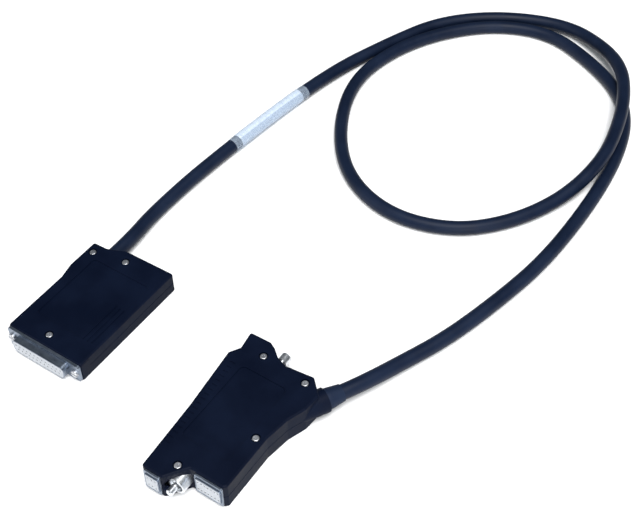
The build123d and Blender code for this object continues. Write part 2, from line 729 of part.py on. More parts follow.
with BuildPart() as jackscrew:
    head_seat_y = JACK_HEAD_BACK
    shoulder_y = GUIDE_FRONT + GUIDE_MOUTH_DEPTH - JACK_GAP
    thread_rear = JACK_TIP + JACK_THREAD
    ring_front = GUIDE_REAR + JACK_GAP
    add(rod_y(0, LONG_MID, JACK_R, JACK_TIP, thread_rear))
    chamfer(jackscrew.faces().sort_by(Axis.Y)[0].edges(), 0.5)
    add(rod_y(0, LONG_MID, JACK_RELIEF_R, thread_rear, shoulder_y - JACK_SHOULDER))
    add(rod_y(0, LONG_MID, JACK_SHOULDER_R, shoulder_y - JACK_SHOULDER, shoulder_y))
    add(rod_y(0, LONG_MID, JACK_R, shoulder_y, ring_front))
    add(rod_y(0, LONG_MID, JACK_GROOVE_R, ring_front, ring_front + RING_THICK + JACK_GAP))
    add(rod_y(0, LONG_MID, JACK_R, ring_front + RING_THICK + JACK_GAP, head_seat_y))
    add(rod_y(0, LONG_MID, JACK_HEAD_R, head_seat_y, head_seat_y + JACK_HEAD_LENGTH))
    rear_edge = jackscrew.faces().sort_by(Axis.Y)[-1].edges()
    chamfer(rear_edge, 0.4)
    slot = (head_seat_y + JACK_HEAD_LENGTH - 1.2, head_seat_y + JACK_HEAD_LENGTH + 1)
    slot_z = (LONG_MID - 0.5, LONG_MID + 0.5)
    add(block((-JACK_HEAD_R - 1, JACK_HEAD_R + 1), slot, slot_z), mode=Mode.SUBTRACT)

with BuildPart() as jackscrew_ring:
    ring_y = (ring_front + JACK_GAP / 2, ring_front + JACK_GAP / 2 + RING_THICK)
    add(rod_y(0, LONG_MID, RING_R, *ring_y))
    add(rod_y(0, LONG_MID, JACK_GROOVE_R + GUIDE_GAP, ring_y[0] - 1, ring_y[1] + 1), mode=Mode.SUBTRACT)
    gap_half = JACK_GROOVE_R * 0.7
    gap_z = (LONG_MID - RING_R - 1, LONG_MID)
    add(block((-gap_half, gap_half), (ring_y[0] - 1, ring_y[1] + 1), gap_z), mode=Mode.SUBTRACT)


def bank_shell(x, front, width):
    """The plated shell of one contact bank, with its flange on the hood's front wall."""
    tube_w = width - 2 * BANK_RIM
    face, rear = front - BANK_REACH, front + BANK_DEPTH - 2.0
    with BuildPart() as shell:
        add(box_prism(x, width, BANK_FLANGE_HEIGHT, front - BANK_FLANGE, front, BANK_CORNER))
        add(box_prism(x, tube_w, BANK_HEIGHT, face, rear, BANK_CORNER))
        inner = box_prism(x, tube_w - 2 * BANK_SHELL, BANK_HEIGHT - 2 * BANK_SHELL,
                          face - 1, rear + 1, BANK_CORNER - 0.3)
        add(inner, mode=Mode.SUBTRACT)
    return shell.part


def bank_places(x, count, pitch):
    """Contact centres of one bank as two rows of (x, z), upper row first, from right to left."""
    xs = [x - (i - (count - 1) / 2) * pitch for i in range(count)]
    return [[(each, LONG_MID + height) for each in xs] for height in (BANK_ROW, -BANK_ROW)]


def bank_insulator(x, front, width, count, pitch):
    """The moulded block of one bank, bored through for its contacts."""
    face = front - BANK_REACH
    inner_w = width - 2 * (BANK_RIM + BANK_SHELL + BANK_GAP / 2)
    with BuildPart() as body:
        inner_h = BANK_HEIGHT - 2 * BANK_SHELL - BANK_GAP
        add(box_prism(x, inner_w, inner_h, face, front + BANK_DEPTH, BANK_CORNER - 0.35))
        for row in bank_places(x, count, pitch):
            for hole_x, z in row:
                seat = face + CONTACT_INSET
                cavity = rod_y(hole_x, z, CONTACT_R + CONTACT_GAP, seat, front + BANK_DEPTH + 1)
                add(cavity, mode=Mode.SUBTRACT)
                add(rod_y(hole_x, z, MOUTH_R, face - 1, seat), mode=Mode.SUBTRACT)
    return body.part


def bank_contacts(x, front, count, pitch):
    """The contacts of one bank."""
    with BuildPart() as contacts:
        for row in bank_places(x, count, pitch):
            for hole_x, z in row:
                seat = front - BANK_REACH + CONTACT_INSET
                add(socket_contact(hole_x, z, seat, front + BANK_DEPTH + CONTACT_TAIL))
    return contacts.part


with BuildPart() as left_bank_shell:
    add(bank_shell(*BANKS[0][:3]))

with BuildPart() as right_bank_shell:
    add(bank_shell(*BANKS[1][:3]))

with BuildPart() as left_bank_insulator:
    add(bank_insulator(*BANKS[0]))

with BuildPart() as right_bank_insulator:
    add(bank_insulator(*BANKS[1]))

with BuildPart() as left_bank_contacts:
    add(bank_contacts(LEFT_BANK_X, -NOSE_REACH, LEFT_BANK_COUNT, LEFT_BANK_PITCH))

with BuildPart() as right_bank_contacts:
    add(bank_contacts(RIGHT_BANK_X, 0.0, RIGHT_BANK_COUNT, RIGHT_BANK_PITCH))

with BuildPart() as cable_boot:
    add(cone_on_exit(-BOOT_DEPTH, BOOT_R, 0, BOOT_R))
    add(cone_on_exit(0, BOOT_COLLAR_R, 2, BOOT_COLLAR_R))
    add(cone_on_exit(2, BOOT_COLLAR_R, BOOT_REACH, BOOT_TIP_R))
    hollow = cone_on_exit(-BOOT_DEPTH - 1, SHEATH_R + CABLE_GAP, BOOT_REACH + 1, SHEATH_R + CABLE_GAP)
    add(hollow, mode=Mode.SUBTRACT)

with BuildPart() as long_cable_clip:
    ring_r = SHEATH_R + CABLE_GAP
    near, far = LONG_CLIP_S - CLIP_WIDTH / 2, LONG_CLIP_S + CLIP_WIDTH / 2
    add(cone_on_exit(near, ring_r + CLIP_BAND, far, ring_r + CLIP_BAND))
    with BuildSketch(Plane(origin=clip_centre, x_dir=EXIT_SIDE, z_dir=(0, 0, 1))):
        with Locations(((SHEATH_R + LONG_CLIP_TAB) / 2, 0)):
            Rectangle(SHEATH_R + LONG_CLIP_TAB, CLIP_WIDTH)
    extrude(amount=CLIP_BAND / 2, both=True)
    add(cone_on_exit(near - 1, ring_r, far + 1, ring_r), mode=Mode.SUBTRACT)
    tab_hole = rod_z(clip_screw.X, clip_screw.Y, hole_r, LONG_MID - 2, LONG_MID + 2)
    add(tab_hole, mode=Mode.SUBTRACT)

with BuildPart() as long_clip_screw:
    top = LONG_MID + CLIP_BAND / 2
    tip = LONG_WALL + 0.5
    add(pan_screw(clip_screw.X, clip_screw.Y, top, tip, *sizes))

with BuildPart() as long_sheath_end:
    add(cone_on_exit(LONG_SHEATH_S, SHEATH_R, BOOT_REACH, SHEATH_R))


def long_core_runs():
    """The routes of the long plug's cores: outer levels over the jackscrew, inner ones past a tower."""
    levels = core_starts()
    left_rows = bank_places(LEFT_BANK_X, LEFT_BANK_COUNT, LEFT_BANK_PITCH)
    right_rows = bank_places(RIGHT_BANK_X, RIGHT_BANK_COUNT, RIGHT_BANK_PITCH)
    pairs = [
        (levels[0], left_rows[0], -NOSE_REACH),
        (levels[1], right_rows[0], 0.0),
        (levels[2], right_rows[1], 0.0),
        (levels[3], left_rows[1], -NOSE_REACH),
    ]
    runs = []
    for places, row, front in pairs:
        tail = front + BANK_DEPTH + CONTACT_TAIL
        for index, ((side, up), (x, z)) in enumerate(zip(places, row)):
            start = NECK + EXIT * LONG_SHEATH_S + EXIT_SIDE * side + Vector(0, 0, up)
            run = [tuple(start), tuple(start - EXIT * FAN_RUN)]
            if front == 0.0:
                run += [(WAIST_X - index * CORE_SPACING, y, start.Z) for y in WAIST_Y]
            runs.append(run + [(x, tail + FAN_FRONT, z), (x, tail, z)])
    return runs


with BuildPart() as long_cores:
    for run in long_core_runs():
        add(core(run))


# ---- free cable ----
def corner_radii(points):
    """The bend at each corner of the route, as large as its two runs allow."""
    radii = []
    for before, here, after in zip(points, points[1:], points[2:]):
        arriving, leaving = here - before, after - here
        turn = math.radians(arriving.get_angle(leaving))
        shorter = min(arriving.length, leaving.length)
        radii.append(CORNER_SHARE * shorter / math.tan(turn / 2))
    return radii


lie = SHEATH_R + TABLE_GAP
route = [
    Vector(SHORT_CABLE_X, TUBE_START_Y, SHORT_MID),
    Vector(SHORT_CABLE_X, TUBE_START_Y + 15, SHORT_MID),
    Vector(SHORT_CABLE_X - 4.5, TUBE_START_Y + 41.5, lie),
    *[Vector(x, y, lie + lift * CABLE_OD) for x, y, lift in ROUTE],
    Vector(NECK.X + 19, NECK.Y + 44.5, lie + 0.09 * CABLE_OD),
    NECK + EXIT * (BOOT_REACH + 14),
    NECK + EXIT * BOOT_REACH,
]
radii = corner_radii(route)
print("bend radii", [round(radius) for radius in radii])

with BuildPart() as cable_sheath:
    with BuildLine() as cable_path:
        FilletPolyline(*route, radius=radii)
    with BuildSketch(Plane(origin=cable_path.line @ 0, z_dir=cable_path.line % 0)):
        Circle(SHEATH_R)
    sweep()
path_length = sum(edge.length for edge in cable_path.edges())
print("free cable", round(path_length, 1))
print("volume over section times length", cable_sheath.part.volume / (math.pi * SHEATH_R**2 * path_length))

run_start, run_end = route[SLEEVE_RUN], route[SLEEVE_RUN + 1]
run_line = (run_end - run_start).normalized()
lead_in = CORNER_SHARE * (route[SLEEVE_RUN] - route[SLEEVE_RUN - 1]).length
lead_out = CORNER_SHARE * (route[SLEEVE_RUN + 2] - route[SLEEVE_RUN + 1]).length
sleeve_middle = run_start + run_line * ((run_end - run_start).length + lead_in - lead_out) / 2


def wrap(length, inner_r, wall):
    """A round sleeve on the cable's longest straight run."""
    with BuildPart() as sleeve:
        with BuildSketch(Plane(origin=sleeve_middle - run_line * length / 2, z_dir=run_line)):
            Circle(inner_r + wall)
            Circle(inner_r, mode=Mode.SUBTRACT)
        extrude(amount=length)
    return sleeve.part


with BuildPart() as cable_label:
    add(wrap(LABEL_LENGTH, SHEATH_R + CABLE_GAP, LABEL_WALL))

with BuildPart() as label_sleeve:
    add(wrap(SLEEVE_LENGTH, SHEATH_R + LABEL_WALL + 2 * CABLE_GAP, SLEEVE_WALL))


pieces = {
    "short_hood_upper": short_hood_upper,
    "short_hood_lower": short_hood_lower,
    "short_hood_screws": short_hood_screws,
    "short_hood_inserts": short_hood_inserts,
    "socket_front_shell": socket_front_shell,
    "socket_rear_shell": socket_rear_shell,
    "socket_insulator": socket_insulator,
    "socket_contacts": socket_contacts,
    "flange_screws": flange_screws,
    "flange_inserts": flange_inserts,
    "short_cable_clip": short_cable_clip,
    "short_clip_screw": short_clip_screw,
    "short_sheath_end": short_sheath_end,
    "short_cores": short_cores,
    "long_hood_upper": long_hood_upper,
    "long_hood_lower": long_hood_lower,
    "long_hood_screws": long_hood_screws,
    "long_hood_inserts": long_hood_inserts,
    "left_bank_shell": left_bank_shell,
    "right_bank_shell": right_bank_shell,
    "left_bank_insulator": left_bank_insulator,
    "right_bank_insulator": right_bank_insulator,
    "left_bank_contacts": left_bank_contacts,
    "right_bank_contacts": right_bank_contacts,
    "jackscrew": jackscrew,
    "jackscrew_ring": jackscrew_ring,
    "jackscrew_guide": jackscrew_guide,
    "guide_screw": guide_screw,
    "long_cable_clip": long_cable_clip,
    "long_clip_screw": long_clip_screw,
    "long_sheath_end": long_sheath_end,
    "long_cores": long_cores,
    "cable_boot": cable_boot,
    "cable_sheath": cable_sheath,
    "cable_label": cable_label,
    "label_sleeve": label_sleeve,
}

os.makedirs("parts", exist_ok=True)
for name, piece in pieces.items():
    piece.part.label = name
    export_step(piece.part, f"parts/{name}.step")
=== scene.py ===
"""Multicore control cable: finishes, free cable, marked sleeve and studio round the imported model."""

import math

import bpy
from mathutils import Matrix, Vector


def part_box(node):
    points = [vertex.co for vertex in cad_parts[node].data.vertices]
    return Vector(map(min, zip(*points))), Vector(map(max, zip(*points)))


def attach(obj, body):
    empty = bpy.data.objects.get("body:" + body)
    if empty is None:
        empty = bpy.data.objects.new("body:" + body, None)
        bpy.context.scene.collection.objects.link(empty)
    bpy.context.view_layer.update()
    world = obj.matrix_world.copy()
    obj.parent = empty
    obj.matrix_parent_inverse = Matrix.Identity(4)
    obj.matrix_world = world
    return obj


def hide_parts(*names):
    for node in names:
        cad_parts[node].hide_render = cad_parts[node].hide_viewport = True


bl_info = {
    "name": "Multicore Control Cable",
    "version": (1, 0, 0),
    "blender": (4, 5, 0),
    "location": "View3D > Sidebar > Control Cable",
    "description": "Finishes, free cable, marked sleeve and studio for a multicore control cable",
    "category": "Object",
}

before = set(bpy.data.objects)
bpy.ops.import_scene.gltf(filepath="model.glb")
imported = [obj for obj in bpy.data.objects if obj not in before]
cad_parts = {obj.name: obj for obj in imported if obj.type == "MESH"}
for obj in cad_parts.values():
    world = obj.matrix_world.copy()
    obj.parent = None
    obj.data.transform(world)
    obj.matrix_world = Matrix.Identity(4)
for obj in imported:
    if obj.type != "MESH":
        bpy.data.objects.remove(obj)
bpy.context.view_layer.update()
MM = 0.001
LIE = 4.6
CABLE_D = 9.0

# How far the faces of the label and of the clear sleeve stand off the sheath, in metres.
LABEL_INNER = 0.00004
LABEL_OUTER = 0.00022
SLEEVE_INNER = 0.00027
SLEEVE_OUTER = 0.00062
# The sleeve draws in a little over this last stretch at each end.
SLEEVE_END = 0.0015
SLEEVE_DRAW = 0.00022

FLOOR_HALF = 4.0
CAMERA_PLACE = (0.2296, -0.2223, 0.5083)
CAMERA_TURN = (math.radians(43.0), 0.0, math.radians(33.5))

# The cable's route from the short plug to the long one, in millimetres: x, y and lift over lying flat.
ROUTE = [
    (-133, 100.5, 2.4),
    (-133, 115.5, 2.4),
    (-137.5, 142, 0),
    (-136, 198, 0.81),
    (-124, 316, 0.81),
    (-105, 378, 0),
    (-87, 421, 0),
    (-51, 453, 0),
    (-5, 469, 0.45),
    (31, 453, 4.95),
    (54, 430, 9.81),
    (68, 401, 9.99),
    (77, 368, 9.0),
    (81, 334, 7.83),
    (73, 298, 0.63),
    (55, 260, 0),
    (27, 232, 0),
    (-14, 222, 0),
    (-56, 239, 0),
    (-87, 279, 0),
    (-104, 326, 0),
    (-98.7, 370, 0),
    (-80, 409, 0),
    (-49, 441, 0),
    (-10, 453, 0),
    (27, 438, 0),
    (57, 419, 0),
    (75, 392, 0),
    (84, 360, 0),
    (88, 323, 0),
    (88.5, 283, 0),
    (86, 240, 0),
    (79, 203, 0),
    (67, 157, 0),
    (53, 123, 0.81),
    (45.2676, 99.6907, 4.9),
    (38.6947, 87.3295, 4.9),
]

HOOD_NODES = ("short_hood_upper", "short_hood_lower", "long_hood_upper", "long_hood_lower")
PLATED_NODES = (
    "socket_front_shell", "socket_rear_shell", "left_bank_shell", "right_bank_shell",
    "short_cable_clip", "long_cable_clip",
)
INSULATOR_NODES = ("socket_insulator", "left_bank_insulator", "right_bank_insulator")
CONTACT_NODES = ("socket_contacts", "left_bank_contacts", "right_bank_contacts")
SCREW_NODES = (
    "short_hood_screws", "long_hood_screws", "guide_screw", "flange_screws",
    "short_clip_screw", "long_clip_screw",
)
INSERT_NODES = ("short_hood_inserts", "long_hood_inserts", "flange_inserts")
JACK_NODES = ("jackscrew", "jackscrew_guide", "jackscrew_ring")
CORE_NODES = ("short_cores", "long_cores")


# ---- sizes and colours a user would change ----
def colour_property(name, description, default):
    """A colour setting of four channels."""
    return bpy.props.FloatVectorProperty(
        name=name, description=description, subtype="COLOR", size=4, min=0.0, max=1.0, default=default
    )


class CableSettings(bpy.types.PropertyGroup):
    """The free cable's sizes and colours."""

    diameter: bpy.props.FloatProperty(
        name="Cable diameter", description="Outer diameter of the sheath", default=CABLE_D * MM,
        min=0.004, max=0.02, subtype="DISTANCE", unit="LENGTH",
    )
    sheath: colour_property("Sheath", "Colour of the sheath", (0.0031, 0.0070, 0.0195, 1.0))
    sheath_tone: colour_property(
        "Sheath tone", "Lighter patches of the sheath", (0.0052, 0.0110, 0.0285, 1.0)
    )
    boot: colour_property("Boot", "Colour of the boot at the long plug", (0.0065, 0.0140, 0.0340, 1.0))


class MarkerSettings(bpy.types.PropertyGroup):
    """The wrapped label and the clear sleeve over it."""

    label_length: bpy.props.FloatProperty(
        name="Label length", description="Length of the wrapped label along the cable", default=0.063,
        min=0.01, max=0.2, subtype="DISTANCE", unit="LENGTH",
    )
    sleeve_length: bpy.props.FloatProperty(
        name="Sleeve length", description="Length of the clear sleeve along the cable", default=0.075,
        min=0.01, max=0.2, subtype="DISTANCE", unit="LENGTH",
    )
    film: colour_property("Film", "Colour of the label film", (0.58, 0.64, 0.72, 1.0))
    # This colour is painted shade: it darkens the label down both sides and underneath, where the overhead
    # light falls off the round film.
    field: colour_property("Field", "Colour of the label's printed fields", (0.22, 0.28, 0.37, 1.0))
    clear: colour_property("Clear sleeve", "Haze of the clear sleeve", (0.55, 0.66, 0.80, 1.0))


class PlugSettings(bpy.types.PropertyGroup):
    """The finishes of both plugs."""

    hood: colour_property("Hood", "Colour of the moulded hoods", (0.0008, 0.0025, 0.0095, 1.0))
    hood_tone: colour_property("Hood tone", "Lighter patches of the hoods", (0.0017, 0.0044, 0.0145, 1.0))
    plating: colour_property("Plating", "Colour of the plated shells", (0.20, 0.235, 0.29, 1.0))
    steel: colour_property("Steel", "Colour of the screws", (0.52, 0.53, 0.55, 1.0))
    insulator: colour_property("Insulator", "Colour of the contact blocks", (0.34, 0.36, 0.39, 1.0))


class StageSettings(bpy.types.PropertyGroup):
    """The floor, the lights and the camera."""

    floor: colour_property("Floor", "Colour of the floor", (0.93, 0.93, 0.93, 1.0))
    key_power: bpy.props.FloatProperty(
        name="Overhead light", description="Power of the overhead panel",
        default=62.0, min=0.0, unit="POWER",
    )
    lens: bpy.props.FloatProperty(
        name="Lens", description="Focal length of the camera, in millimetres",
        default=63.56, min=10.0, max=300.0,
    )


# ---- materials ----
def new_material(name):
    """An empty material with its Principled BSDF: (material, nodes, links, bsdf)."""
    material = bpy.data.materials.new(name)
    material.use_nodes = True
    tree = material.node_tree
    return material, tree.nodes, tree.links, tree.nodes["Principled BSDF"]


def new_group(name, inputs, outputs):
    """A shader node group with named sockets: (group, its input node, its output node)."""
    group = bpy.data.node_groups.new(name, "ShaderNodeTree")
    for title, kind, default in inputs:
        socket = group.interface.new_socket(title, in_out="INPUT", socket_type=kind)
        socket.default_value = default
    for title, kind in outputs:
        group.interface.new_socket(title, in_out="OUTPUT", socket_type=kind)
    return group, group.nodes.new("NodeGroupInput"), group.nodes.new("NodeGroupOutput")


def noise(nodes, links, vector, scale, detail, roughness=0.55):
    """A noise texture on those coordinates; scale is a number or a socket."""
    texture = nodes.new("ShaderNodeTexNoise")
    links.new(vector, texture.inputs["Vector"])
    texture.inputs["Detail"].default_value = detail
    texture.inputs["Roughness"].default_value = roughness
    if isinstance(scale, (int, float)):
        texture.inputs["Scale"].default_value = scale
    else:
        links.new(scale, texture.inputs["Scale"])
    return texture.outputs["Fac"]


def remap(nodes, links, value, low, high, to_low, to_high):
    """A value carried from one range to another; the new range's ends are numbers or sockets."""
    node = nodes.new("ShaderNodeMapRange")
    links.new(value, node.inputs["Value"])
    node.inputs["From Min"].default_value = low
    node.inputs["From Max"].default_value = high
    for title, end in (("To Min", to_low), ("To Max", to_high)):
        if isinstance(end, (int, float)):
            node.inputs[title].default_value = end
        else:
            links.new(end, node.inputs[title])
    return node.outputs["Result"]


def blend_colours(nodes, links, mask, first, second):
    """Two colours mixed by a mask."""
    node = nodes.new("ShaderNodeMix")
    node.data_type = "RGBA"
    links.new(mask, node.inputs["Factor"])
    for title, colour in (("A", first), ("B", second)):
        socket = [each for each in node.inputs if each.name == title and each.type == "RGBA"][0]
        if isinstance(colour, (tuple, list)):
            socket.default_value = colour
        else:
            links.new(colour, socket)
    return [each for each in node.outputs if each.type == "RGBA"][0]


def math_node(nodes, links, operation, first, second):
    """One sum of two values, each a number or a socket."""
    node = nodes.new("ShaderNodeMath")
    node.operation = operation
    for socket, value in zip(node.inputs, (first, second)):
        if isinstance(value, (int, float)):
            socket.default_value = value
        else:
            links.new(value, socket)
    return node.outputs[0]


def build_moulded_grain():
    """Fine spark-eroded grain over slow changes of tone, for moulded and extruded polymer."""
    group, given, result = new_group(
        "moulded_grain",
        [
            ("Base", "NodeSocketColor", (0.01, 0.01, 0.01, 1)),
            ("Tone", "NodeSocketColor", (0.02, 0.02, 0.02, 1)),
            ("Grain Scale", "NodeSocketFloat", 2400.0),
            ("Tone Scale", "NodeSocketFloat", 45.0),
            ("Smooth", "NodeSocketFloat", 0.4),
            ("Rough", "NodeSocketFloat", 0.6),
        ],
        [("Color", "NodeSocketColor"), ("Roughness", "NodeSocketFloat"), ("Height", "NodeSocketFloat")],
    )
    nodes, links = group.nodes, group.links
    place = nodes.new("ShaderNodeTexCoord").outputs["Object"]
    tone = noise(nodes, links, place, given.outputs["Tone Scale"], 4.0)
    grain = noise(nodes, links, place, given.outputs["Grain Scale"], 3.0, 0.7)
    mask = remap(nodes, links, tone, 0.35, 0.68, 0.0, 1.0)
    fleck = math_node(nodes, links, "MULTIPLY", remap(nodes, links, grain, 0.45, 0.75, 0.0, 1.0), 0.35)
    both = math_node(nodes, links, "MAXIMUM", mask, fleck)
    colour = blend_colours(nodes, links, both, given.outputs["Base"], given.outputs["Tone"])
    links.new(colour, result.inputs["Color"])
    rough = remap(nodes, links, tone, 0.3, 0.7, given.outputs["Smooth"], given.outputs["Rough"])
    links.new(rough, result.inputs["Roughness"])
    links.new(grain, result.inputs["Height"])
    return group


def build_handling_marks():
    """Faint scuffs and hair scratches that lift the colour and dull the gloss."""
    group, given, result = new_group(
        "handling_marks",
        [
            ("Color", "NodeSocketColor", (0.01, 0.01, 0.01, 1)),
            ("Mark", "NodeSocketColor", (0.05, 0.06, 0.08, 1)),
            ("Roughness", "NodeSocketFloat", 0.5),
            ("Amount", "NodeSocketFloat", 0.3),
        ],
        [("Color", "NodeSocketColor"), ("Roughness", "NodeSocketFloat")],
    )
    nodes, links = group.nodes, group.links
    place = nodes.new("ShaderNodeTexCoord").outputs["Object"]
    stretch = nodes.new("ShaderNodeMapping")
    stretch.inputs["Rotation"].default_value = (0.0, 0.0, 0.6)
    stretch.inputs["Scale"].default_value = (900.0, 45.0, 400.0)
    links.new(place, stretch.inputs["Vector"])
    hair = noise(nodes, links, stretch.outputs["Vector"], 1.0, 2.0)
    patch = noise(nodes, links, place, 70.0, 5.0, 0.7)
    scratches = remap(nodes, links, hair, 0.68, 0.76, 0.0, 1.0)
    places = remap(nodes, links, patch, 0.52, 0.70, 0.0, 1.0)
    mask = math_node(nodes, links, "MULTIPLY", scratches, places)
    mask = math_node(nodes, links, "MULTIPLY", mask, given.outputs["Amount"])
    colour = blend_colours(nodes, links, mask, given.outputs["Color"], given.outputs["Mark"])
    links.new(colour, result.inputs["Color"])
    dulling = math_node(nodes, links, "MULTIPLY", mask, 0.25)
    dulled = math_node(nodes, links, "ADD", given.outputs["Roughness"], dulling)
    links.new(dulled, result.inputs["Roughness"])
    return group


def build_drawn_metal():
    """Fine drawing lines and a slow bloom, for plated, turned and pressed metal."""
    group, given, result = new_group(
        "drawn_metal",
        [
            ("Metal", "NodeSocketColor", (0.8, 0.8, 0.8, 1)),
            ("Bloom", "NodeSocketColor", (0.6, 0.6, 0.6, 1)),
            ("Smooth", "NodeSocketFloat", 0.2),
            ("Rough", "NodeSocketFloat", 0.4),
        ],
        [("Color", "NodeSocketColor"), ("Roughness", "NodeSocketFloat"), ("Height", "NodeSocketFloat")],
    )
    nodes, links = group.nodes, group.links
    place = nodes.new("ShaderNodeTexCoord").outputs["Object"]
    stretch = nodes.new("ShaderNodeMapping")
    stretch.inputs["Scale"].default_value = (160.0, 2600.0, 2600.0)
    links.new(place, stretch.inputs["Vector"])
    lines = noise(nodes, links, stretch.outputs["Vector"], 1.0, 3.0)
    bloom = noise(nodes, links, place, 260.0, 5.0, 0.65)
    mask = remap(nodes, links, bloom, 0.4, 0.75, 0.0, 0.8)
    colour = blend_colours(nodes, links, mask, given.outputs["Metal"], given.outputs["Bloom"])
    links.new(colour, result.inputs["Color"])
    rough = remap(nodes, links, lines, 0.3, 0.7, given.outputs["Smooth"], given.outputs["Rough"])
    links.new(rough, result.inputs["Roughness"])
    links.new(lines, result.inputs["Height"])
    return group


def use_group(nodes, group, values):
    """A group placed in a material with its own values."""
    node = nodes.new("ShaderNodeGroup")
    node.node_tree = group
    for title, value in values.items():
        node.inputs[title].default_value = value
    return node


def add_bump(nodes, links, height, bsdf, distance, strength):
    """A bump of that height, in metres, on the shader's normal."""
    bump = nodes.new("ShaderNodeBump")
    bump.inputs["Distance"].default_value = distance
    bump.inputs["Strength"].default_value = strength
    links.new(height, bump.inputs["Height"])
    links.new(bump.outputs["Normal"], bsdf.inputs["Normal"])


def polymer(name, base, tone, grain_scale, smooth, rough, relief, specular, marks):
    """Moulded or extruded polymer with grain, tone and handling marks."""
    material, nodes, links, bsdf = new_material(name)
    grain = use_group(nodes, bpy.data.node_groups["moulded_grain"], {
        "Base": base, "Tone": tone, "Grain Scale": grain_scale, "Smooth": smooth, "Rough": rough,
    })
    worn = use_group(nodes, bpy.data.node_groups["handling_marks"], {
        "Mark": tuple(min(1.0, channel * 3.0) for channel in tone[:3]) + (1.0,), "Amount": marks,
    })
    links.new(grain.outputs["Color"], worn.inputs["Color"])
    links.new(grain.outputs["Roughness"], worn.inputs["Roughness"])
    links.new(worn.outputs["Color"], bsdf.inputs["Base Color"])
    links.new(worn.outputs["Roughness"], bsdf.inputs["Roughness"])
    bsdf.inputs["Specular IOR Level"].default_value = specular
    add_bump(nodes, links, grain.outputs["Height"], bsdf, relief, 0.6)
    return material


def metal(name, colour, bloom, smooth, rough):
    """Plated, turned or pressed metal."""
    material, nodes, links, bsdf = new_material(name)
    drawn = use_group(nodes, bpy.data.node_groups["drawn_metal"], {
        "Metal": colour, "Bloom": bloom, "Smooth": smooth, "Rough": rough,
    })
    bsdf.inputs["Metallic"].default_value = 1.0
    links.new(drawn.outputs["Color"], bsdf.inputs["Base Color"])
    links.new(drawn.outputs["Roughness"], bsdf.inputs["Roughness"])
    add_bump(nodes, links, drawn.outputs["Height"], bsdf, 0.00001, 0.5)
    return material


def dress(node_names, material):
    """Puts a finish in every material slot of those nodes."""
    for name in node_names:
        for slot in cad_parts[name].material_slots:
            slot.material = material


# ---- pieces along the cable ----
def spline_curve(name, bevel):
    """The route as one smooth open spline."""
    curve = bpy.data.curves.new(name, "CURVE")
    curve.dimensions = "3D"
    curve.resolution_u = 24
    curve.bevel_depth = bevel
    curve.bevel_resolution = 10
    curve.use_fill_caps = bevel > 0
    spline = curve.splines.new("NURBS")
    spline.points.add(len(ROUTE) - 1)
    for point, (x, y, lift) in zip(spline.points, ROUTE):
        point.co = (x * MM, y * MM, (LIE + lift) * MM, 1.0)
    spline.order_u = 3
    spline.use_endpoint_u = True
    return curve


def centreline():
    """Points along the cable's own spline, in order."""
    curve = spline_curve("centreline", 0.0)
    holder = bpy.data.objects.new("centreline", curve)
    bpy.context.scene.collection.objects.link(holder)
    mesh = bpy.data.meshes.new_from_object(holder)
    points = [vertex.co.copy() for vertex in mesh.vertices]
    bpy.data.objects.remove(holder)
    bpy.data.curves.remove(curve)
    bpy.data.meshes.remove(mesh)
    return points


def stretch_of(points, middle, length, steps):
    """Evenly spaced points of a line, over a length centred nearest to a place."""
    reach = [0.0]
    for before, after in zip(points, points[1:]):
        reach.append(reach[-1] + (after - before).length)
    nearest = min(range(len(points)), key=lambda index: (points[index] - middle).length)
    start = reach[nearest] - length / 2
    found = []
    index = 0
    for step in range(steps + 1):
        want = start + length * step / steps
        while reach[index + 1] < want:
            index += 1
        share = (want - reach[index]) / (reach[index + 1] - reach[index])
        found.append(points[index].lerp(points[index + 1], share))
    return found


def wrapped_tube(name, line, profile, inner):
    """A closed round tube along a line; profile gives the outer radius by the share of the length."""
    around = 64
    count = len(line)
    vertices, faces, places = [], [], []
    for wall in ("outer", "inner"):
        for index, point in enumerate(line):
            before, after = line[max(index - 1, 0)], line[min(index + 1, count - 1)]
            along = (after - before).normalized()
            side = along.cross(Vector((0, 0, 1))).normalized()
            up = side.cross(along)
            radius = profile(index / (count - 1)) if wall == "outer" else inner
            for turn in range(around):
                angle = 2 * math.pi * turn / around
                vertices.append(point + (up * math.cos(angle) + side * math.sin(angle)) * radius)
    for wall in (0, 1):
        base = wall * count * around
        for index in range(count - 1):
            for turn in range(around):
                corners = [(index, turn), (index, turn + 1), (index + 1, turn + 1), (index + 1, turn)]
                if wall:
                    corners.reverse()
                faces.append([base + row * around + column % around for row, column in corners])
                places.append([(column / around, row / (count - 1)) for row, column in corners])
    for end, row in (("near", 0), ("far", count - 1)):
        for turn in range(around):
            outer = [row * around + turn, row * around + (turn + 1) % around]
            inside = [each + count * around for each in outer]
            ring = [outer[1], outer[0], inside[0], inside[1]]
            if end == "far":
                ring.reverse()
            faces.append(ring)
            places.append([(turn / around, row / (count - 1))] * 4)
    mesh = bpy.data.meshes.new(name)
    mesh.from_pydata(vertices, [], faces)
    layer = mesh.uv_layers.new(name="Wrap")
    for polygon, corners in zip(mesh.polygons, places):
        polygon.use_smooth = True
        for loop, corner in zip(polygon.loop_indices, corners):
            layer.data[loop].uv = corner
    piece = bpy.data.objects.new(name, mesh)
    bpy.context.scene.collection.objects.link(piece)
    return piece


